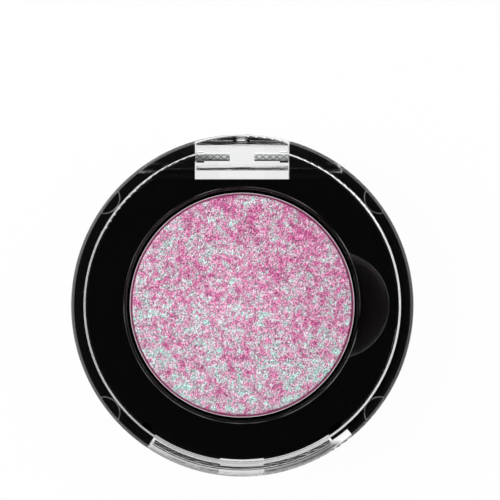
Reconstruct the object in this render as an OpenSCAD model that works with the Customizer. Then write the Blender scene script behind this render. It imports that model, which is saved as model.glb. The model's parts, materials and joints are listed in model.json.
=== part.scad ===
// Round single-pan compact: a clear snap lid on a two-pin hinge over a black base.
// It stands closed on its base: +Z up, latch at -Y, hinge at +Y, and the origin is
// the centre of the face that it rests on. Millimetres.

/* [Case] */
// Outer diameter of the base and the lid
case_d = 55.5; // [54.5:0.5:62]
// Closed height of the whole compact
case_h = 13; // [12.75:0.25:16]
// Height of the base's rim
rim_h = 8; // [7.6:0.1:8.4]
// Gap between the base's rim and the closed lid
parting_gap = 0.1; // [0.05:0.05:0.2]

/* [Base shell] */
// Thickness of the base's floor
floor_t = 1.4; // [1:0.1:1.8]
// Radius along the base's bottom edge
foot_r = 0.8; // [0.3:0.1:1.2]
// Radius along the outer edge of the rim
rim_r = 0.25; // [0.1:0.05:0.4]
// Diameter of the sunk place for the label
label_seat_d = 38; // [34:1:39]
// Depth of the sunk place for the label
label_seat_depth = 0.3; // [0.2:0.05:0.5]
// Thickness of the label
label_t = 0.15; // [0.08:0.01:0.2]
// Gap round the label
label_gap = 0.4; // [0.2:0.1:1]

/* [Inner frame] */
// Thickness of the deck round the pan
deck_t = 1.3; // [1:0.1:1.4]
// Height of the deck's top above the rim
deck_rise = 1.4; // [1.4:0.05:1.8]
// Radius along the deck's outer edge
deck_edge_r = 0.4; // [0.2:0.1:0.7]
// Depth of the deck's step back behind the latch
deck_step = 0.95; // [0.6:0.05:1]
// Half angle of the deck's step back
deck_step_half_angle = 40; // [38:0.5:43]
// Corner radius of the deck's step back
deck_step_corner_r = 0.6; // [0.2:0.1:0.6]
// Gap between the deck and the lid's skirt
deck_gap = 0.3; // [0.2:0.05:0.5]
// Gap between the frame and the walls that hold it
frame_gap = 0.15; // [0.1:0.05:0.2]
// Thickness of the frame's skirt, which stands on the base's floor
frame_skirt_t = 1.1; // [0.8:0.1:1.4]
// Thickness of the pan well's round wall
well_wall_t = 0.7; // [0.5:0.05:0.75]
// Thickness of the pan well's floor
well_floor_t = 1.2; // [0.8:0.1:1.5]
// Width and depth of the bevel round the well's mouth
well_bevel = 0.6; // [0.3:0.05:0.65]
// Diameter of the hole that a spent pan is pushed out through
push_hole_d = 6; // [4:0.5:9]

/* [Finger scoop] */
// Diameter of the scoop where it meets the deck
scoop_d = 17.4; // [15:0.2:18]
// Depth of the scoop
scoop_depth = 2.6; // [2:0.1:3]
// Width of the deck left outside the scoop
scoop_margin = 1.55; // [1.2:0.05:2.5]
// Thickness of the wall under the scoop
scoop_wall_t = 1.2; // [0.8:0.1:1.5]

/* [Pan and powder] */
// Outer diameter of the metal pan
pan_d = 36.5; // [34:0.5:36.5]
// Height of the pan
pan_h = 4; // [3:0.1:4.5]
// Thickness of the pan's metal
pan_t = 0.3; // [0.2:0.05:0.4]
// Radius along the pan's bottom edge
pan_edge_r = 0.5; // [0.2:0.1:0.8]
// Gap between the pan and its well
well_gap = 0.45; // [0.3:0.05:0.5]
// Depth of the pan's rim below the deck
pan_sink = 0.5; // [0.2:0.05:0.8]
// Depth of the powder's edge below the pan's rim
powder_sink = 0.45; // [0.3:0.05:0.8]
// Radius of the powder's rolled edge
powder_edge_r = 0.5; // [0.2:0.05:0.7]
// Height of the powder's dome above its rolled edge
powder_dome = 0.15; // [0.05:0.05:0.4]
// Thickness of the glue disc under the pan
glue_t = 0.2; // [0.1:0.05:0.4]
// Outer diameter of the glue disc
glue_d = 30; // [20:1:33]

/* [Lid] */
// Thickness of the lid's top
lid_top_t = 1.6; // [1.2:0.1:1.8]
// Thickness of the lid's skirt
lid_skirt_t = 2; // [1.9:0.05:2.1]
// Radius along the lid's top edge
lid_edge_r = 0.5; // [0.3:0.1:1.2]
// Radius inside, between the lid's top and its skirt
lid_inner_r = 0.5; // [0.3:0.1:1.2]
// Depth of the ejector marks in the lid
mark_depth = 0.15; // [0.05:0.05:0.3]
// Radius of the four ejector marks under the skirt
mark_r = 2.55; // [1.5:0.05:3]
// Distance of those marks' centres outside the case
mark_out = 0.65; // [0.3:0.05:1]
// Width of the skirt left outside those marks
mark_rim = 0.4; // [0.3:0.05:0.8]
// Angle of those marks from the case's left and right
mark_angle = 37.9; // [30:0.1:45]

/* [Latch] */
// Angle of the finger relief in the base's front, from the latch's middle towards +X
relief_angle = 40.3; // [38:0.1:44]
// Depth of the finger relief into the base
relief_depth = 1.35; // [0.8:0.05:1.5]
// Thickness of the lid's front flap
flap_t = 1.75; // [1.5:0.05:1.9]
// Half angle of the flap
flap_half_angle = 32.8; // [28:0.1:36]
// Height of the flap's lower edge
flap_z = 2.5; // [2:0.1:2.8]
// Height of the ledge inside, above which the flap is as thick as the skirt
flap_ledge_z = 7.4; // [6.8:0.1:7.5]
// Width and height of the bevel inside the flap's lower edge
flap_bevel = 1; // [0.6:0.05:1.05]
// Radius outside the flap's lower edge
flap_edge_r = 0.3; // [0.2:0.1:0.6]
// Half angle left free at each end of the flap
flap_end_gap = 0.9; // [0.6:0.1:1.5]
// Gap behind the flap, between it and the base
flap_gap = 0.65; // [0.5:0.05:1]
// Thickness of the wall behind the flap
recess_wall_t = 1; // [0.8:0.1:1.2]
// Half angle of the latch lug on the flap
lug_half_angle = 7.75; // [5:0.25:12]
// Half angle left free at each side of the lug
lug_side_gap = 0.3; // [0.2:0.1:0.6]
// Depth of the lug's pocket in the base
pocket_depth = 0.2; // [0.1:0.05:0.3]
// Reach of the catch ridge out of the pocket's wall
ridge_reach = 0.1; // [0.08:0.01:0.15]
// Thickness of the lug and of the ridge that it snaps under
lug_t = 0.9; // [0.6:0.1:1.1]
// Height of the lug's lower side
lug_z = 3.1; // [2.9:0.1:3.4]
// Gap between the lug and the ridge, both across and upward
latch_gap = 0.05; // [0.02:0.01:0.1]

/* [Hinge] */
// Distance of the hinge axis inside the back of the case
hinge_inset = 3.68; // [3.5:0.02:3.8]
// Distance of the hinge axis below the rim
hinge_drop = 2.5; // [2.3:0.1:2.5]
// Diameter of each hinge pin
pin_d = 1.4; // [1.2:0.1:1.6]
// Length of each hinge pin
pin_len = 10.5; // [9:0.25:11]
// Distance between the two pins' inner ends
pin_spread = 4; // [3:0.25:5]
// Chamfer on the pins' ends
pin_chamfer = 0.15; // [0.05:0.05:0.3]
// Running clearance round the pins in the ears
pin_clearance = 0.04; // [0.02:0.01:0.08]
// Width of the lid's knuckle
knuckle_w = 14.9; // [13:0.1:16]
// Radius of the knuckle's front and lower side
knuckle_r = 2.2; // [1.8:0.1:2.4]
// Radius of the knuckle's rear side
knuckle_rear_r = 3.2; // [2.8:0.1:3.3]
// Gap between the knuckle and the ears, at each side
knuckle_gap = 0.2; // [0.1:0.05:0.4]
// Gap between the swung knuckle and the notch's front wall
notch_gap = 0.42; // [0.3:0.01:0.5]
// Thickness of the notch's front wall
notch_wall_t = 0.9; // [0.7:0.05:0.9]
// Radius of the ears' round tops
ear_r = 3.6; // [3.55:0.05:3.75]
// Gap between the ears and the lid's skirt
ear_gap = 0.2; // [0.15:0.05:0.3]
// Diameter of the counterbores in the knuckle's ends
counterbore_d = 2; // [1.7:0.1:2.4]
// Depth of the counterbores
counterbore_depth = 1.3; // [0.5:0.1:2]
// Diameter of the ejector mark under the knuckle
knuckle_mark_d = 3; // [2:0.1:3.5]

/* [Hidden] */
$fn = 128;
// Overlap of cutting shapes past the faces they cut
past = 1;
// Overlap of joined shapes into each other
join = 0.2;
LEFT = -1;
RIGHT = 1;
FRONT_ANGLE = 270;
BACK_ANGLE = 90;

case_r = case_d / 2;
lid_z = rim_h + parting_gap;
ceiling_z = case_h - lid_top_t;
skirt_r = case_r - lid_skirt_t;

deck_r = skirt_r - deck_gap;
deck_z = rim_h + deck_rise;
shell_r = deck_r + frame_gap;

well_r = pan_d / 2 + well_gap;
well_outer_r = well_r + well_wall_t;
pan_top_z = deck_z - pan_sink;
pan_z = pan_top_z - pan_h;
well_floor_z = pan_z - glue_t;
powder_r = pan_d / 2 - pan_t;
powder_top_z = pan_top_z - powder_sink + powder_edge_r;

scoop_x = deck_r - scoop_margin - scoop_d / 2;
scoop_sphere_r = (scoop_d * scoop_d / 4 + scoop_depth * scoop_depth) / (2 * scoop_depth);
scoop_sphere_z = deck_z - scoop_depth + scoop_sphere_r;

relief_r = case_r - relief_depth;
flap_inner_r = case_r - flap_t;
recess_r = flap_inner_r - flap_gap;
recess_half_angle = flap_half_angle + flap_end_gap;
recess_inner_r = recess_r - recess_wall_t;
recess_wall_half_angle = recess_half_angle + asin(recess_wall_t / recess_r);
pocket_r = recess_r - pocket_depth;
ridge_tip_r = pocket_r + ridge_reach;
lug_tip_r = ridge_tip_r + latch_gap;
ridge_z = lug_z + lug_t + latch_gap;

hinge_y = case_r - hinge_inset;
hinge_z = rim_h - hinge_drop;
notch_half = knuckle_w / 2 + knuckle_gap;
notch_y = hinge_y - knuckle_rear_r - notch_gap;
ear_cut_r = ear_r + ear_gap;

// Part of a ring, centred on an angle
module ring_sector(inner_r, outer_r, half_angle, z, height, mid_angle = FRONT_ANGLE) {
    rotate([0, 0, mid_angle - half_angle])
        rotate_extrude(angle = 2 * half_angle)
            translate([inner_r, z]) square([outer_r - inner_r, height]);
}

// Cut from the case's outside in to a radius, with round inner corners
module front_cut(inner_r, half_angle, corner_r, z, height) {
    corner_angle = asin(corner_r / (inner_r + corner_r));
    ring_sector(inner_r, case_r + past, half_angle - corner_angle, z, height);
    ring_sector(inner_r + corner_r, case_r + past, half_angle, z, height);
    for (side = [LEFT, RIGHT])
        rotate([0, 0, FRONT_ANGLE + side * (half_angle - corner_angle)])
            translate([inner_r + corner_r, 0, z]) cylinder(r = corner_r, h = height);
}

// Square with its upper right corner rounded, and its lower right one if asked
module rounded_profile(width, height, upper_r, lower_r = 0) {
    square([width - max(upper_r, lower_r), height]);
    translate([0, lower_r]) square([width, height - upper_r - lower_r]);
    translate([width - upper_r, height - upper_r]) circle(r = upper_r);
    if (lower_r > 0) {
        translate([0, lower_r]) square([width - upper_r, height - lower_r]);
        translate([0, 0]) square([width - lower_r, height - upper_r]);
        translate([width - lower_r, lower_r]) circle(r = lower_r);
    }
}

// Rod along the hinge axis, from one x to another
module hinge_rod(r, from_x, to_x) {
    translate([from_x, hinge_y, hinge_z]) rotate([0, 90, 0]) cylinder(r = r, h = to_x - from_x);
}

// Everything inside the case's round outline
module case_outline(z, height) {
    translate([0, 0, z]) cylinder(r = case_r, h = height);
}

// Base: a cup with a stepped recess for the latch in front, and two ears for the hinge pins behind
module base_shell() {
    color("#0b0b0c")
    difference() {
        union() {
            rotate_extrude() rounded_profile(case_r, rim_h, rim_r, foot_r);
            intersection() {
                hinge_rod(ear_r, -case_r, case_r);
                case_outline(0, case_h);
            }
        }
        base_hollow();
        latch_recess();
        hinge_notch();
        hinge_rod(pin_d / 2 + pin_clearance, -case_r - past, case_r + past);
        translate([0, 0, -past]) cylinder(d = label_seat_d, h = past + label_seat_depth);
    }
    color("#0b0b0c")
    ring_sector(pocket_r - join, ridge_tip_r, lug_half_angle, ridge_z, lug_t);
}

// Inside of the base: round, but flat at the hinge and stepped in behind the latch
module base_hollow() {
    difference() {
        translate([0, 0, floor_t]) cylinder(r = shell_r, h = case_h);
        translate([-case_r, notch_y - notch_wall_t, 0]) cube([case_d, case_r, case_h]);
        ring_sector(recess_inner_r, case_r, recess_wall_half_angle, 0, case_h);
    }
}

// Cuts in the base's front, right through: the flap's recess, the lug's pocket, and a finger relief
// that goes on past the flap at one side
module latch_recess() {
    height = rim_h + 2 * past;
    ring_sector(relief_r, case_r + past, relief_angle / 2, -past, height, FRONT_ANGLE + relief_angle / 2);
    ring_sector(recess_r, case_r + past, recess_half_angle, -past, height);
    ring_sector(pocket_r, case_r + past, lug_half_angle + lug_side_gap, -past, height);
}

// Cut in the base's back that the lid's knuckle swings in
module hinge_notch() {
    translate([-notch_half, notch_y, -past]) cube([2 * notch_half, case_r, case_h + 2 * past]);
}

// Inner frame: the deck round the pan, the well that holds it and the skirt that stands in the base
module inner_frame() {
    color("#0e0e10")
    difference() {
        union() {
            translate([0, 0, deck_z - deck_t])
                rotate_extrude() rounded_profile(deck_r, deck_t, deck_edge_r);
            frame_skirt();
            translate([0, 0, well_floor_z - well_floor_t])
                cylinder(r = well_outer_r, h = deck_z - well_floor_z);
            scoop_bowl();
        }
        translate([0, 0, well_floor_z]) cylinder(r = well_r, h = case_h);
        translate([0, 0, deck_z - well_bevel])
            cylinder(r1 = well_r, r2 = well_r + well_bevel + past, h = well_bevel + past);
        translate([scoop_x, 0, scoop_sphere_z]) sphere(r = scoop_sphere_r);
        cylinder(d = push_hole_d, h = case_h);
        translate([-case_r, notch_y, 0]) cube([case_d, case_r, case_h]);
        front_cut(deck_r - deck_step, deck_step_half_angle, deck_step_corner_r, deck_z - deck_t - past, case_h);
    }
}

// Skirt of the inner frame, which follows the base's hollow
module frame_skirt() {
    difference() {
        skirt_solid(deck_r, notch_y - notch_wall_t - frame_gap, recess_inner_r - frame_gap);
        skirt_solid(deck_r - frame_skirt_t, notch_y - notch_wall_t - frame_gap - frame_skirt_t,
                    recess_inner_r - frame_gap - frame_skirt_t, past);
    }
}

// Block that the skirt is the wall of: round, with a flat back and a front that steps in
module skirt_solid(round_r, back_y, front_r, longer = 0) {
    height = deck_z - deck_t / 2 - floor_t;
    side_angle = recess_wall_half_angle + asin((deck_r - round_r + frame_gap) / recess_r);
    difference() {
        translate([0, 0, floor_t - longer]) cylinder(r = round_r, h = height + 2 * longer);
        translate([-case_r, back_y, 0]) cube([case_d, case_r, case_h]);
        ring_sector(front_r, case_r, side_angle, 0, case_h);
    }
}

// Bowl under the finger scoop, outside the well
module scoop_bowl() {
    intersection() {
        translate([scoop_x, 0, scoop_sphere_z]) sphere(r = scoop_sphere_r + scoop_wall_t);
        translate([0, 0, floor_t]) cylinder(r = deck_r - deck_edge_r, h = deck_z - floor_t - deck_t / 2);
    }
}

// Pan: a shallow drawn cup
module pan() {
    color("#c9cacc")
    difference() {
        translate([0, 0, pan_z]) rotate_extrude()
            difference() {
                rounded_profile(pan_d / 2, pan_h + pan_edge_r, pan_edge_r, pan_edge_r);
                translate([0, pan_h]) square([pan_d, 2 * pan_edge_r]);
            }
        translate([0, 0, pan_z + pan_t]) cylinder(r = powder_r, h = pan_h);
    }
}

// Pressed powder: a cake that fills the pan, with a rolled edge and a low dome
module pressed_powder() {
    cake_z = pan_z + pan_t;
    color("#d48fc0")
    translate([0, 0, cake_z]) {
        rotate_extrude() rounded_profile(powder_r, powder_top_z - cake_z, powder_edge_r);
        translate([0, 0, powder_top_z - cake_z - join])
            cylinder(r1 = powder_r - powder_edge_r, r2 = powder_edge_r, h = powder_dome + join);
    }
}

// Ring of glue between the pan and the well's floor
module pan_glue() {
    color("#e8e4d8")
    difference() {
        translate([0, 0, well_floor_z]) cylinder(d = glue_d, h = glue_t);
        cylinder(d = push_hole_d + glue_t, h = case_h);
    }
}

// Round label, bare of print
module bottom_label() {
    color("#f2f2f0")
    translate([0, 0, label_seat_depth - label_t]) cylinder(d = label_seat_d - 2 * label_gap, h = label_t);
}

// Lid: a clear cap with a front flap and lug, and a knuckle behind
module lid() {
    color("#dfe6ea", 0.35)
    difference() {
        union() {
            lid_cap();
            latch_lug();
            knuckle();
        }
        for (side = [LEFT, RIGHT]) {
            hinge_rod(pin_d / 2, min(side * pin_spread / 2, side * case_r), max(side * pin_spread / 2, side * case_r));
            counterbore(side);
            for (end = [0, 180 - 2 * mark_angle]) skirt_mark(side * (mark_angle + end));
        }
        translate([0, hinge_y, hinge_z - knuckle_rear_r])
            cylinder(d = knuckle_mark_d, h = knuckle_rear_r - knuckle_r + mark_depth);
    }
}

// Top and skirt of the lid, cut away over the base's ears. The skirt hangs lower as the front flap
module lid_cap() {
    difference() {
        translate([0, 0, flap_z])
            rotate_extrude() rounded_profile(case_r, case_h - flap_z, lid_edge_r, flap_edge_r);
        translate([0, 0, flap_z - past])
            rotate_extrude() {
                rounded_profile(skirt_r, ceiling_z - flap_z + past, lid_inner_r);
                square([flap_inner_r, flap_ledge_z - flap_z + past]);
                polygon([[0, 0], [flap_inner_r + flap_bevel + past, 0], [flap_inner_r, flap_bevel + past],
                         [0, flap_bevel + past]]);
            }
        ring_sector(skirt_r - past, case_r + past, 180 - flap_half_angle, 0, lid_z, BACK_ANGLE);
        hinge_rod(ear_cut_r, -case_r, case_r);
        translate([-case_r, hinge_y, 0]) cube([case_d, case_r, hinge_z + ear_cut_r]);
    }
}

// Lug inside the front flap
module latch_lug() {
    ring_sector(lug_tip_r, flap_inner_r + flap_bevel, lug_half_angle, lug_z, lug_t);
}

// Knuckle of the hinge: round in front and wider behind, with a web up to the lid's top
module knuckle() {
    intersection() {
        union() {
            hinge_rod(knuckle_r, -knuckle_w / 2, knuckle_w / 2);
            intersection() {
                hinge_rod(knuckle_rear_r, -knuckle_w / 2, knuckle_w / 2);
                translate([-case_r, hinge_y, 0]) cube([case_d, case_r, case_h]);
            }
            translate([-knuckle_w / 2, hinge_y - knuckle_r, hinge_z])
                cube([knuckle_w, case_r, ceiling_z + join - hinge_z]);
        }
        case_outline(0, case_h);
    }
}

// Counterbore in one end of the knuckle
module counterbore(side) {
    inner_x = knuckle_w / 2 - counterbore_depth;
    if (side == LEFT) hinge_rod(counterbore_d / 2, -case_r, -inner_x);
    else hinge_rod(counterbore_d / 2, inner_x, case_r);
}

// Ejector mark under the skirt, cut off short of its outer edge
module skirt_mark(angle) {
    intersection() {
        rotate([0, 0, angle]) translate([case_r + mark_out, 0, lid_z - past])
            cylinder(r = mark_r, h = past + mark_depth);
        translate([0, 0, lid_z - past]) cylinder(r = case_r - mark_rim, h = 2 * past);
    }
}

// Hinge pin: pressed into the knuckle, free to turn in the ear
module hinge_pin(side) {
    color("#b9bcc0")
    translate([side * pin_spread / 2, hinge_y, hinge_z]) rotate([0, side * 90, 0])
        rotate_extrude() polygon([
            [0, 0], [pin_d / 2 - pin_chamfer, 0], [pin_d / 2, pin_chamfer],
            [pin_d / 2, pin_len - pin_chamfer], [pin_d / 2 - pin_chamfer, pin_len], [0, pin_len]]);
}

module hinge_pin_left() hinge_pin(LEFT);

module hinge_pin_right() hinge_pin(RIGHT);

base_shell();
inner_frame();
pan();
pressed_powder();
pan_glue();
bottom_label();
lid();
hinge_pin_left();
hinge_pin_right();
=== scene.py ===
# Round single-pan compact: a clear snap lid on a two-pin hinge, over a glossy black case with
# a metal pan of pressed glitter powder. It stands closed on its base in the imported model's
# frame: +Z up, latch at -Y, hinge at +Y, finger scoop at +X. Metres.
import json
import math
import random

import bmesh
import bpy
from mathutils import Euler, Matrix, Vector, noise

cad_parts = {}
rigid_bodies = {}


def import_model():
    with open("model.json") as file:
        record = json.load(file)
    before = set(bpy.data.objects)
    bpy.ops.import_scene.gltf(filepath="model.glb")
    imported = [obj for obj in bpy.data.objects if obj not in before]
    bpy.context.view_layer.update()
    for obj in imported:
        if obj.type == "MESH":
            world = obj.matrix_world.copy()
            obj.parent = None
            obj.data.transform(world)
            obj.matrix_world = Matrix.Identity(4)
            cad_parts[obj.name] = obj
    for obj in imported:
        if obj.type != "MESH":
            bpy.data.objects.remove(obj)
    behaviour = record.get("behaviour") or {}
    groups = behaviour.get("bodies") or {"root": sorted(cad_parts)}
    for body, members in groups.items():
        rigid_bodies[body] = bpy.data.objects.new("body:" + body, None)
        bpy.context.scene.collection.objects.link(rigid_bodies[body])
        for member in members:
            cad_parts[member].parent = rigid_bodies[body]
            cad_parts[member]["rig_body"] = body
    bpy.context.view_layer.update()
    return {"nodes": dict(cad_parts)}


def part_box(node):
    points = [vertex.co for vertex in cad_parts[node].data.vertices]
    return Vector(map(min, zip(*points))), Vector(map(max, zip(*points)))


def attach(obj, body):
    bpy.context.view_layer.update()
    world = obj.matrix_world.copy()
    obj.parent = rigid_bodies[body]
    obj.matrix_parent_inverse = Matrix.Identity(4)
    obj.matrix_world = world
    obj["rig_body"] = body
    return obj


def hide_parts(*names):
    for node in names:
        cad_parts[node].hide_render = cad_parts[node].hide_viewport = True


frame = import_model()

# --- Camera -----------------------------------------------------------------------------------
# A long lens above the closed compact, with the hinge at the top of the picture. It leans a
# little to the left and to the back, and the compact lies left of the middle and below it.
MM = 0.001
VIEW_WIDTH = 81.05 * MM
CAMERA_DISTANCE = 1000 * MM
CAMERA_AIM = Vector((1.25 * MM, 8.97 * MM, 11.5 * MM))
LEAN_LEFT = 1
LEAN_BACK = 0.5

camera = bpy.data.objects.new("camera", bpy.data.cameras.new("camera"))
camera.data.sensor_width = 36
camera.data.lens = camera.data.sensor_width * CAMERA_DISTANCE / VIEW_WIDTH
lean = Euler((math.radians(-LEAN_BACK), math.radians(-LEAN_LEFT), 0))
camera.rotation_euler = lean
camera.location = CAMERA_AIM + lean.to_matrix() @ Vector((0, 0, CAMERA_DISTANCE))
camera.data.clip_end = 10
bpy.context.scene.collection.objects.link(camera)
bpy.context.scene.camera = camera


# --- Base shell -------------------------------------------------------------------------------
# The lower case, one moulding of black ABS from a polished steel mould. Its outside stays
# glossy, with hair scratches from handling and a trace of orange peel on the broad faces.
class Signal:
    """One value in a node tree, which Python's own operators work on."""

    def __init__(self, nodes, socket):
        self.nodes = nodes
        self.socket = socket

    def math(self, operation, *values):
        return self.nodes.node("Math", {"operation": operation}, dict(enumerate(values)))

    def absolute(self):
        return self.math("ABSOLUTE", self)

    def at_most_one(self):
        return self.math("MINIMUM", self, 1)

    def __add__(self, other):
        return self.math("ADD", self, other)

    def __mul__(self, other):
        return self.math("MULTIPLY", self, other)

    def __sub__(self, other):
        return self.math("SUBTRACT", self, other)

    def __rsub__(self, other):
        return self.math("SUBTRACT", other, self)

    def __lt__(self, other):
        return self.math("LESS_THAN", self, other)

    __radd__ = __add__
    __rmul__ = __mul__


class Nodes:
    """The node tree of a material or a world, whose nodes all come from one method."""

    def __init__(self, owner):
        owner.use_nodes = True
        self.tree = owner.node_tree
        self.tree.nodes.clear()

    def node(self, kind, settings={}, inputs={}, output=0):
        """Adds a node and returns one of its outputs, or the node itself for an output of None."""
        made = self.tree.nodes.new("ShaderNode" + kind)
        for name, value in settings.items():
            if name == "stops":
                self.set_stops(made.color_ramp.elements, value)
            else:
                setattr(made, name, value)
        self.feed(made, inputs)
        return made if output is None else Signal(self, made.outputs[output])

    def set_stops(self, elements, stops):
        while len(elements) < len(stops):
            elements.new(1)
        for element, (position, colour) in zip(elements, stops):
            element.position = position
            element.color = (*colour, 1)

    def feed(self, node, inputs):
        for name, value in inputs.items():
            if isinstance(value, Signal):
                self.tree.links.new(value.socket, node.inputs[name])
            else:
                node.inputs[name].default_value = value

    def part(self, vector, axis):
        """A vector's value along that axis."""
        return self.node("SeparateXYZ", inputs={0: vector}, output=axis)

    def dot(self, vector, direction):
        return self.node("VectorMath", {"operation": "DOT_PRODUCT"}, {0: vector, 1: direction}, "Value")

    def mix(self, share, first, second):
        """The first colour where share is 0, and the second where it is 1."""
        return self.node("Mix", {"data_type": "RGBA"}, {0: share, 6: first, 7: second}, 2)

    def ramp(self, value, low, high):
        """0 where the value is at low or short of it, 1 at high, and even between them."""
        return self.node("MapRange", inputs={"Value": value, "From Min": low, "From Max": high})


class Finish(Nodes):
    """A material on a Principled surface."""

    def __init__(self, name, **sockets):
        self.material = bpy.data.materials.new(name)
        super().__init__(self.material)
        self.place = self.node("TexCoord", output="Object")
        self.principled = self.node("BsdfPrincipled", output=None)
        self.surface = Signal(self, self.principled.outputs[0])
        self.output = self.node("OutputMaterial", inputs={"Surface": self.surface}, output=None)
        self.set(**sockets)

    def set(self, **sockets):
        """Feeds the surface's sockets, whose names have _ for each space."""
        self.feed(self.principled, {name.replace("_", " "): value for name, value in sockets.items()})

    def noise(self, size, detail=2, place=None):
        """Soft noise from 0 to 1, with lumps of about that size."""
        inputs = {"Vector": place or self.place, "Scale": 1 / size, "Detail": detail}
        return self.node("TexNoise", inputs=inputs)

    def bump(self, height, depth):
        return self.node("Bump", inputs={"Strength": 1, "Distance": depth, "Height": height})

    def from_axis(self, x=0, y=0, folded=False):
        """Distance from the upright line through x and y, or through its mirror images as well."""
        flat = self.node("VectorMath", {"operation": "MULTIPLY"}, {0: self.place, 1: (1, 1, 0)}, "Vector")
        if folded:
            flat = self.node("VectorMath", {"operation": "ABSOLUTE"}, {0: flat}, "Vector")
        return self.node("VectorMath", {"operation": "DISTANCE"}, {0: flat, 1: (x, y, 0)}, "Value")

    def line(self, distance, width):
        """1 where the distance is 0, fading out over that width at both sides."""
        return self.ramp(distance.absolute(), width, 0.3 * width)


def grey(lightness):
    return (lightness, lightness, lightness, 1)


def scratches(finish, spacing, width):
    """1 on hair scratches, which run in a few directions across each other, and 0 elsewhere."""
    found = 0
    for turn, seed in ((0.4, 1.3), (1.5, 7.7), (2.5, 4.1)):
        inputs = {"Vector": finish.place, "Location": (seed, seed, seed), "Rotation": (0, 0.5, turn),
                  "Scale": (1, 0.04, 1)}
        stretched = finish.node("Mapping", inputs=inputs)
        found = found + ((finish.noise(spacing, 1, stretched) - 0.5).absolute() < width)
    return found.at_most_one()


def specks(finish, spacing, width, share):
    """1 on specks of dust, on about that share of the places they could lie, and 0 elsewhere."""
    cells = finish.node("TexVoronoi", {}, {"Vector": finish.place, "Scale": 1 / spacing}, None)
    chance = finish.node("SeparateColor", inputs={"Color": Signal(finish, cells.outputs["Color"])})
    return (Signal(finish, cells.outputs["Distance"]) < width / spacing) * (chance < share)


def black_plastic(name, lightness, peel, wear, dust, glints_at=None):
    """Glossy black moulding: peel is its orange peel's depth, wear how much its scratches show,
    dust the share of its specks, and the last argument finds the edges given a painted highlight."""
    finish = Finish(name, IOR=1.53)
    wear_and_glints = scratches(finish, spacing=1.5 * MM, width=0.0015)
    dusty = specks(finish, spacing=1.6 * MM, width=0.06 * MM, share=dust)
    patches = finish.noise(6 * MM, 3)
    colour = finish.mix(dusty, grey(lightness), (0.16, 0.16, 0.17, 1))
    # Painted highlight: a pale grey line on the edges that would catch the light.
    if glints_at:
        colour = finish.mix(glints_at(finish), colour, grey(0.7))
    finish.set(Base_Color=colour, Roughness=0.06 + 0.05 * patches + wear * wear_and_glints + 0.4 * dusty)
    finish.set(Normal=finish.bump(finish.noise(1.1 * MM, 2) - wear * wear_and_glints, peel))
    return finish.material


def add_piece(name, skin, body, material):
    """Makes an object of the bmesh, which rides on the body and has the material."""
    mesh = bpy.data.meshes.new(name)
    skin.to_mesh(mesh)
    skin.free()
    mesh.materials.append(material)
    piece = bpy.data.objects.new(name, mesh)
    bpy.context.scene.collection.objects.link(piece)
    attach(piece, body)
    return piece


SAME_POINT = 0.0005 * MM
SHARP_EDGE = math.radians(28)


def finished_copy(node, name, material):
    """The CAD piece as one joined skin: level faces stay flat, curves smooth and edges sharp."""
    source = frame["nodes"][node]
    skin = bmesh.new()
    skin.from_mesh(source.data)
    bmesh.ops.remove_doubles(skin, verts=skin.verts, dist=SAME_POINT)
    bmesh.ops.dissolve_degenerate(skin, edges=skin.edges, dist=SAME_POINT)
    for edge in skin.edges:
        edge.smooth = len(edge.link_faces) == 2 and edge.calc_face_angle() < SHARP_EDGE
    for face in skin.faces:
        face.smooth = True
        face.material_index = 0
    piece = add_piece(name, skin, source["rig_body"], material)
    flat_faces = piece.modifiers.new("flat_faces", "WEIGHTED_NORMAL")
    flat_faces.weight = 100
    flat_faces.keep_sharp = True
    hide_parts(node)


base_black = black_plastic("base_black", lightness=0.005, peel=0.003 * MM, wear=0.14, dust=0.1)
finished_copy("base_shell", "base_shell_moulding", base_black)

# --- Inner frame ------------------------------------------------------------------------------
# The deck round the pan, with the pan's well and the finger scoop: a second black moulding,
# pressed into the shell. It is kept cleaner than the shell, as the lid covers it.
WELL_MOUTH_R = 19.22 * MM
SCOOP_X = 15.2 * MM
SCOOP_R = 8.66 * MM


def painted_edge_glints(finish):
    """Painted highlight: a pale line on the well's mouth and, fainter, on the scoop's edge, in patches."""
    well = finish.line(finish.from_axis() - WELL_MOUTH_R, width=0.09 * MM)
    scoop = finish.line(finish.from_axis(SCOOP_X) - SCOOP_R, width=0.1 * MM)
    return (0.3 * well + 0.05 * scoop) * finish.ramp(finish.noise(5 * MM, 1), 0.35, 0.65)


frame_black = black_plastic("frame_black", lightness=0.0025, peel=0.001 * MM, wear=0.01, dust=0.06,
                            glints_at=painted_edge_glints)
finished_copy("inner_frame", "inner_frame_moulding", frame_black)

# --- Pan --------------------------------------------------------------------------------------
# A shallow round pan, drawn from thin aluminium sheet, with the faint rings that drawing leaves
# in the metal. Powder has rubbed off on its rim, all but the bright outermost part.
PAN_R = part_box("pan")[1].x

pan_metal = Finish("pan_metal", Metallic=0.25)
out = pan_metal.from_axis()
ragged = out + 0.12 * MM * pan_metal.noise(0.5 * MM)
dusted = pan_metal.ramp(ragged, PAN_R + 0.01 * MM, PAN_R - 0.09 * MM)
rings = pan_metal.noise(0.05 * MM, 1, pan_metal.node("CombineXYZ", inputs={"X": out}))
pan_metal.set(Base_Color=pan_metal.mix(dusted, grey(0.9), (0.42, 0.07, 0.2, 1)))
pan_metal.set(Roughness=0.15 + 0.15 * rings + 0.4 * dusted, Normal=pan_metal.bump(rings, 0.001 * MM))
finished_copy("pan", "pan_drawn", pan_metal.material)

# --- Glue -------------------------------------------------------------------------------------
# The dried ring of glue that holds the pan down in its well. It is a little yellow, and lumpy
# from being squeezed flat.
glue = Finish("glue", Base_Color=(0.78, 0.72, 0.58, 1), Roughness=0.5)
glue.set(Normal=glue.bump(glue.noise(1.5 * MM, 4), 0.05 * MM))
finished_copy("pan_glue", "pan_glue_ring", glue.material)

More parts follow.
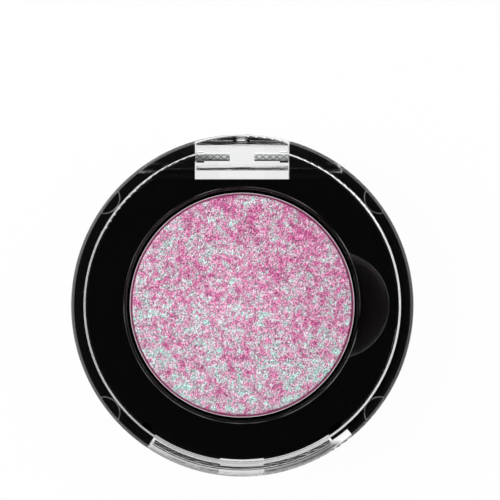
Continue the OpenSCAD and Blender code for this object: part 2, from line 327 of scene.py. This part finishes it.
# --- Bottom label -----------------------------------------------------------------------------
# A round paper sticker in the sunk place under the base, with nothing printed on it. The paper
# is uncoated, so its fibres show.
paper = Finish("label_paper", Roughness=0.55)
fibres = paper.noise(0.25 * MM, 5)
paper.set(Base_Color=paper.mix(fibres, (0.8, 0.8, 0.78, 1), (0.88, 0.88, 0.86, 1)))
paper.set(Normal=paper.bump(fibres, 0.01 * MM))
finished_copy("bottom_label", "bottom_label_paper", paper.material)

# --- Pressed powder ---------------------------------------------------------------------------
# The cake is pressed into the pan with its edge rolled down. It is pink, full of coarse flakes
# that flash mint green, and its top is rough with flakes that lie at all angles.
powder_low, powder_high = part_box("pressed_powder")
POWDER_R = powder_high.x
POWDER_TOP = powder_high.z
EDGE_R = 0.5 * MM
DOME = 0.15 * MM
GRAIN = 0.26 * MM
GRAIN_RELIEF = 0.03 * MM
SWELL = 2.4 * MM
GRID = 292

WINE = (0.55, 0.08, 0.26)
HOT_PINK = (0.76, 0.14, 0.4)
PINK = (0.82, 0.28, 0.52)
PALE_PINK = (0.86, 0.54, 0.68)
DUST_PINK = (0.8, 0.65, 0.73)
MINT_GREY = (0.78, 0.9, 0.88)
MINT = (0.42, 0.88, 0.76)
FROST = (0.72, 0.95, 0.9)
POWDER_STOPS = [(0.06, WINE), (0.2, HOT_PINK), (0.36, PINK), (0.48, PALE_PINK), (0.57, DUST_PINK),
                (0.66, MINT_GREY), (0.78, MINT), (0.95, FROST)]
PINK_SHARE = 0.59
MINT_SIDE = (-0.3 / POWDER_R, -0.95 / POWDER_R, 0)
SPECK = 0.14 * MM
CLUMP = 1.15 * MM
CLOUD = 4 * MM


def powder_height(x, y):
    """Height of the cake's top: a low dome, a rolled edge and a skin of tilted grains."""
    out = math.hypot(x, y)
    height = POWDER_TOP - DOME * (out / POWDER_R) ** 2
    roll = max(0, out - (POWDER_R - EDGE_R)) / EDGE_R
    height -= EDGE_R * (1 - math.sqrt(max(0, 1 - roll * roll)))
    spot = Vector((x, y, 0)) / GRAIN
    middle = noise.voronoi(spot)[1][0]
    tilt = noise.cell_vector(middle * 7.31) - Vector((0.5, 0.5, 0.5))
    facet = tilt.dot(spot - middle) * 0.9 + tilt.z
    swell = noise.noise(Vector((x, y, 0)) / SWELL)
    calm = 1 - 0.6 * roll
    return height + calm * GRAIN_RELIEF * (facet - 0.45 + 0.5 * swell)


def powder_cake():
    """A fine grid, rounded into a disc, raised into grains and closed underneath."""
    cake = bmesh.new()
    bmesh.ops.create_grid(cake, x_segments=GRID, y_segments=GRID, size=1)
    for vertex in cake.verts:
        u, v = vertex.co.x, vertex.co.y
        x = POWDER_R * u * math.sqrt(1 - v * v / 2)
        y = POWDER_R * v * math.sqrt(1 - u * u / 2)
        vertex.co = Vector((x, y, min(powder_height(x, y), POWDER_TOP)))
    rim = [edge for edge in cake.edges if edge.is_boundary]
    wall = bmesh.ops.extrude_edge_only(cake, edges=rim)["geom"]
    for vertex in [part for part in wall if isinstance(part, bmesh.types.BMVert)]:
        vertex.co.z = powder_low.z
    foot = [part for part in wall if isinstance(part, bmesh.types.BMEdge)]
    bmesh.ops.contextual_create(cake, geom=foot)
    bmesh.ops.recalc_face_normals(cake, faces=cake.faces)
    for face in cake.faces:
        face.smooth = len(face.verts) == 4
    return cake


def powder_colour(finish, lean_to_mint=0):
    """Clouds and clumps of pink and mint, in specks that are each lighter or darker."""
    cells = finish.node("TexVoronoi", {}, {"Vector": finish.place, "Scale": 1 / SPECK}, "Color")
    chances = finish.node("SeparateColor", inputs={"Color": cells}, output=None)
    hue, light = Signal(finish, chances.outputs["Red"]), Signal(finish, chances.outputs["Green"])
    mint = (1.2 * finish.noise(CLUMP, 5) + 0.5 * finish.noise(CLOUD, 1) + 0.4 * hue
            + 0.08 * finish.dot(finish.place, MINT_SIDE) + (lean_to_mint - PINK_SHARE))
    colour = finish.node("ValToRGB", {"stops": POWDER_STOPS}, {"Fac": mint})
    return finish.node("VectorMath", {"operation": "SCALE"}, {0: colour, "Scale": 0.27 + 1.48 * light})


glitter_powder = Finish("glitter_powder", Roughness=0.5)
glitter_powder.set(Base_Color=powder_colour(glitter_powder))
cake = add_piece("powder_cake", powder_cake(), "base", glitter_powder.material)
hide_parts("pressed_powder")

# --- Glitter flakes ---------------------------------------------------------------------------
# Cut flakes of coated film, pressed into the cake's skin. Each is a flat many-sided chip, and
# each lies at its own tilt, so that some catch the light.
FLAKE_THICKNESS = 0.025 * MM
FLAKE_TILT = 0.33
FLAKE_LIFT = 0.01 * MM
FLAKE_TOP = POWDER_TOP - 0.05 * MM
FLAKES_TO_R = POWDER_R - 0.25 * MM
COARSE_FLAKE = (0.15 * MM, 0.32 * MM)
FINE_FLAKE = (0.12 * MM, 0.25 * MM)


def flake_shapes():
    """Chips with four, five and six corners, one unit across and one thick."""
    chips = []
    for corners in (4, 5, 6):
        chip = bmesh.new()
        bmesh.ops.create_cone(chip, cap_ends=True, segments=corners, radius1=0.5, radius2=0.44, depth=1)
        chips.append(bpy.data.meshes.new("chip"))
        chip.to_mesh(chips[-1])
        chip.free()
    return chips


def flake_field(name, count, seed, widths, lean_to_mint, shine):
    """That many flakes, spread evenly over the cake."""
    chance = random.Random(seed)
    chips = flake_shapes()
    field = bmesh.new()
    for _ in range(count):
        out = FLAKES_TO_R * math.sqrt(chance.random())
        turn = chance.uniform(0, math.tau)
        x, y = out * math.cos(turn), out * math.sin(turn)
        width = chance.uniform(*widths)
        tilt = Euler((chance.gauss(0, FLAKE_TILT), chance.gauss(0, FLAKE_TILT), chance.uniform(0, math.tau)))
        size = Matrix.Diagonal((width, width * chance.uniform(0.5, 1), FLAKE_THICKNESS, 1))
        lift = min(powder_height(x, y) + FLAKE_LIFT, FLAKE_TOP)
        place = Matrix.Translation((x, y, lift)) @ tilt.to_matrix().to_4x4() @ size
        chip = chance.choice(chips)
        chip.transform(place)
        field.from_mesh(chip)
        chip.transform(place.inverted())
    for chip in chips:
        bpy.data.meshes.remove(chip)
    finish = Finish(name, Roughness=0.28, Metallic=shine)
    finish.set(Base_Color=powder_colour(finish, lean_to_mint))
    add_piece(name, field, "base", finish.material)


flake_field("flakes_mint", 3500, seed=11, widths=COARSE_FLAKE, lean_to_mint=0.2, shine=0.25)
flake_field("flakes_pink", 3500, seed=12, widths=COARSE_FLAKE, lean_to_mint=-0.1, shine=0.25)
flake_field("flakes_frost", 1500, seed=13, widths=FINE_FLAKE, lean_to_mint=0.45, shine=0.2)

# --- Lid --------------------------------------------------------------------------------------
# The lid, its front flap, latch lug and hinge knuckle are one moulding of clear styrene, which
# is polished on both sides. It turns on the two hinge pins, and its lug snaps into the base.
lid_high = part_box("lid")[1]
EDGE_LINE_R = lid_high.x - 0.53 * MM
EDGE_LINE_Z = lid_high.z - 0.6 * MM
KNUCKLE_TOP = 8 * MM
KNUCKLE_REAR = 25.4 * MM
CUTTER_LINE = 0.35 * MM
MARK_X = 22.41 * MM
MARK_Y = 17.45 * MM
MARK_R = 2.55 * MM
MARK_TOP = 8.4 * MM
MARKS_FROM_R = 25.6 * MM


def lid_clear():
    clear = Finish("lid_clear", Base_Color=(0.985, 0.99, 0.99, 1), IOR=1.57, Transmission_Weight=1)
    out, height = clear.from_axis(), clear.part(clear.place, "Z")

    # The knuckle was never polished, so lines from the cutter run along it.
    along = clear.node("Mapping", inputs={"Vector": clear.place, "Scale": (0.06, 1, 1)})
    knuckle = clear.ramp(height, KNUCKLE_TOP, KNUCKLE_TOP - 0.4 * MM)
    rear = clear.ramp(clear.part(clear.place, "Y"), KNUCKLE_REAR, KNUCKLE_REAR + 0.8 * MM)
    lines = clear.noise(CUTTER_LINE, 2, along) * knuckle
    clear.set(Normal=clear.bump(lines * (0.35 + rear), 0.04 * MM), Roughness=0.3 * lines * rear)

    # Painted highlights: a dull white line is mixed into the clear plastic on the lid's outer edge and on
    # the rims of the four ejector marks, for the lines of light these edges catch; it looks like rubbed
    # plastic.
    edge = (clear.ramp(out, EDGE_LINE_R, EDGE_LINE_R + 0.08 * MM)
            * clear.ramp(height, EDGE_LINE_Z, EDGE_LINE_Z + 0.1 * MM))
    marks = (clear.line(clear.from_axis(MARK_X, MARK_Y, folded=True) - MARK_R, width=0.13 * MM)
             * clear.ramp(height, MARK_TOP + 0.1 * MM, MARK_TOP)
             * clear.ramp(out, MARKS_FROM_R, MARKS_FROM_R + 0.2 * MM)
             * clear.ramp(clear.noise(1.5 * MM, 2), 0.2, 0.7))
    dull = clear.node("BsdfPrincipled", inputs={"Base Color": grey(0.85), "Roughness": 0.6})
    wear_and_glints = clear.node("MixShader", inputs={0: 0.12 * edge + 0.32 * marks, 1: clear.surface, 2: dull})

    # The lamps shine through it to what lies under it.
    lamps_through = clear.node("BsdfTransparent", inputs={"Color": (0.93, 0.94, 0.94, 1)})
    shadow = clear.node("LightPath", output="Is Shadow Ray")
    whole = clear.node("MixShader", inputs={0: shadow, 1: wear_and_glints, 2: lamps_through})
    clear.feed(clear.output, {"Surface": whole})
    return clear.material


finished_copy("lid", "lid_moulding", lid_clear())

# --- Hinge pins -------------------------------------------------------------------------------
# Two short steel pins, pushed in through the ears until their inner ends grip the knuckle. Those
# ends are knurled: grooves wind round them both ways. The steel is dull from tumbling.
PIN_CLEARANCE = 0.01 * MM
PIN_CHAMFER = 0.15 * MM
PIN_SIDES = 72
PIN_RINGS = 180
KNURL_PITCH = 1.14 * MM
KNURL_STARTS = 4
KNURL_GROOVE = 0.07 * MM
KNURL_WIDTH = 0.16
KNURL_LENGTH = 5.6 * MM

steel = Finish("pin_steel", Metallic=0.2)
tumbled = steel.noise(0.12 * MM, 3)
# Painted shade: the knurl's grooves are darkened in the colour, for the shade that falls in them.
groove_shade = steel.node("Attribute", {"attribute_name": "groove"}, output="Fac")
steel.set(Base_Color=steel.mix(groove_shade, (0.95, 0.95, 0.94, 1), grey(0.12)))
steel.set(Roughness=0.34 + 0.2 * tumbled, Normal=steel.bump(tumbled, 0.002 * MM))


def knurled_pin(node, name):
    """A fine grid, rolled up into a rod, grooved at its inner end and closed at both ends."""
    low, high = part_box(node)
    middle = (low + high) / 2
    radius = (high.z - low.z) / 2 - PIN_CLEARANCE
    half = (high.x - low.x) / 2
    knurl_end = KNURL_LENGTH + min(abs(low.x), abs(high.x))
    pin = bmesh.new()
    grooves = pin.verts.layers.float.new("groove")
    bmesh.ops.create_grid(pin, x_segments=PIN_SIDES, y_segments=PIN_RINGS, size=1)
    for vertex in pin.verts:
        turn, along = math.pi * vertex.co.x, middle.x + half * vertex.co.y
        to_end = half - abs(along - middle.x)
        groove = 0
        if abs(along) < knurl_end:
            for hand in (-1, 1):
                wound = along / KNURL_PITCH + hand * KNURL_STARTS * turn / math.tau
                groove = max(groove, 1 - abs(wound - round(wound)) / KNURL_WIDTH)
        vertex[grooves] = groove
        out = radius - KNURL_GROOVE * groove - max(0, PIN_CHAMFER - to_end)
        vertex.co = (along, middle.y + out * math.sin(turn), middle.z + out * math.cos(turn))
    bmesh.ops.remove_doubles(pin, verts=pin.verts, dist=0.001 * MM)
    bmesh.ops.holes_fill(pin, edges=[edge for edge in pin.edges if edge.is_boundary], sides=0)
    bmesh.ops.recalc_face_normals(pin, faces=pin.faces)
    for face in pin.faces:
        face.smooth = len(face.verts) == 4
    piece = add_piece(name, pin, frame["nodes"][node]["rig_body"], steel.material)
    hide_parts(node)


knurled_pin("hinge_pin_left", "hinge_pin_left_knurled")
knurled_pin("hinge_pin_right", "hinge_pin_right_knurled")

# --- Table ------------------------------------------------------------------------------------
# A white table. What the clear lid gathers of it carries painted shade: lighter at the right of the
# compact than at the left, and dark behind the front flap, but for painted light at the latch lug
# and in a streak near the rim.
TABLE_WIDTH = 3
SHADY_SIDE = (-0.9, -0.43, 0)
CASE_TO_TABLE = (26.5 * MM, 28 * MM)
TO_FRONT_Y = (-22.2 * MM, -23.2 * MM)
INTO_FLAP_R = (25.9 * MM, 26.2 * MM)
OUT_OF_FLAP_R = (29.2 * MM, 28.8 * MM)
INTO_STREAK_R = (26.95 * MM, 27.15 * MM)
OUT_OF_STREAK_R = (27.5 * MM, 27.3 * MM)
OUT_OF_LUG_X = (3.8 * MM, 3.6 * MM)
OUT_OF_LUG_R = (27.6 * MM, 27.4 * MM)
OUT_OF_EDGE_ON = (0.93, 0.82)
GLOW = 0.97


def table_shade(white):
    """How much darker than white each place of the table is, to light that the lid has bent."""
    out, front = white.from_axis(), white.ramp(white.part(white.place, "Y"), *TO_FRONT_Y)
    outward = white.node("VectorMath", {"operation": "NORMALIZE"}, {0: white.place}, "Vector")
    side = white.dot(outward, SHADY_SIDE)
    open_table = white.ramp(out, *CASE_TO_TABLE)
    beside = 0.27 * side - 0.15 + 0.15 * front * (side + 1)
    shade = 0.06 * (1 - open_table) + beside * open_table
    flap = white.ramp(out, *INTO_FLAP_R) * white.ramp(out, *OUT_OF_FLAP_R) * front
    # Painted light on the shade: a streak near the rim, where the flap's round edge gathers light.
    streak = white.ramp(out, *INTO_STREAK_R) * white.ramp(out, *OUT_OF_STREAK_R)
    shade = shade * (1 - flap) + (0.93 - (0.25 + 0.45 * side) * streak) * flap
    across = white.part(white.place, "X").absolute()
    lug = white.ramp(across, *OUT_OF_LUG_X) * white.ramp(out, *OUT_OF_LUG_R)
    return shade * (1 - 0.65 * lug)


def table_white():
    """It glows white to the camera, to mirrors and through glass, with a trace of the shadows that
    fall on it, and is dark where it is seen edge on."""
    white = Finish("floor_white", Roughness=0.8)
    path = white.node("LightPath", output=None)
    bent = Signal(white, path.outputs["Is Transmission Ray"])
    seen = bent + Signal(white, path.outputs["Is Camera Ray"]) + Signal(white, path.outputs["Is Glossy Ray"])
    facing = white.node("LayerWeight", inputs={"Blend": 0.5}, output="Facing")
    flat_on = white.ramp(facing, *OUT_OF_EDGE_ON)
    white.set(Base_Color=white.mix(flat_on, grey(0.03), grey(0.82)))
    lit = white.node("Emission", inputs={"Color": 1 - table_shade(white) * bent})
    share = GLOW * seen.at_most_one() * flat_on
    whole = white.node("MixShader", inputs={0: share, 1: white.surface, 2: lit})
    white.feed(white.output, {"Surface": whole})
    return white.material


sheet = bmesh.new()
bmesh.ops.create_grid(sheet, x_segments=1, y_segments=1, size=TABLE_WIDTH / 2)
table = bpy.data.meshes.new("floor")
sheet.to_mesh(table)
sheet.free()
table.materials.append(table_white())
floor = bpy.data.objects.new("floor", table)
bpy.context.scene.collection.objects.link(floor)

# --- Room -------------------------------------------------------------------------------------
# Pale walls under a dark ceiling, which keeps the level black faces black. The walls are dim
# straight at the left and right, which the lid would mirror beside its hinge. Three soft lamps.
WALL_LIGHT = [(0, 0.04), (0.1, 0.06), (0.2, 0.7), (0.3, 1), (0.43, 0.9), (0.52, 0.06), (0.7, 0), (1, 0)]
TO_SIDE_END = (0.8, 0.88)

world = bpy.data.worlds.new("studio")
bpy.context.scene.world = world
room = Nodes(world)
direction = room.node("TexCoord", output="Generated")
wall_stops = [(height, (light, light, light)) for height, light in WALL_LIGHT]
climb = room.node("ValToRGB", {"stops": wall_stops}, {0: room.part(direction, "Z")})
side_end = room.ramp(room.part(direction, "X").absolute(), *TO_SIDE_END)
walls = room.node("Background", inputs={"Color": climb, "Strength": 1 - 0.9 * side_end})
backdrop = room.node("Background", inputs={"Color": grey(1)})
seen = room.node("LightPath", output="Is Camera Ray")
surroundings = room.node("MixShader", inputs={0: seen, 1: walls, 2: backdrop})
room.node("OutputWorld", inputs={"Surface": surroundings}, output=None)


def soft_lamp(name, place, width, height, power):
    """A lamp that shines at the compact and isn't seen in mirrors or through the lid."""
    lamp = bpy.data.lights.new(name, "AREA")
    lamp.shape = "RECTANGLE"
    lamp.size, lamp.size_y = width, height
    lamp.energy = power
    stand = bpy.data.objects.new(name, lamp)
    stand.location = place
    stand.visible_glossy = False
    stand.visible_transmission = False
    stand.rotation_euler = (-Vector(place)).to_track_quat("-Z", "Y").to_euler()
    bpy.context.scene.collection.objects.link(stand)


soft_lamp("key_left", (-0.42, 0.05, 0.3), width=0.3, height=0.4, power=3.2)
soft_lamp("fill_right", (0.42, 0.1, 0.24), width=0.25, height=0.3, power=1.2)
soft_lamp("back", (0, 0.42, 0.25), width=0.4, height=0.2, power=0.8)
bpy.context.scene.view_settings.view_transform = "Standard"
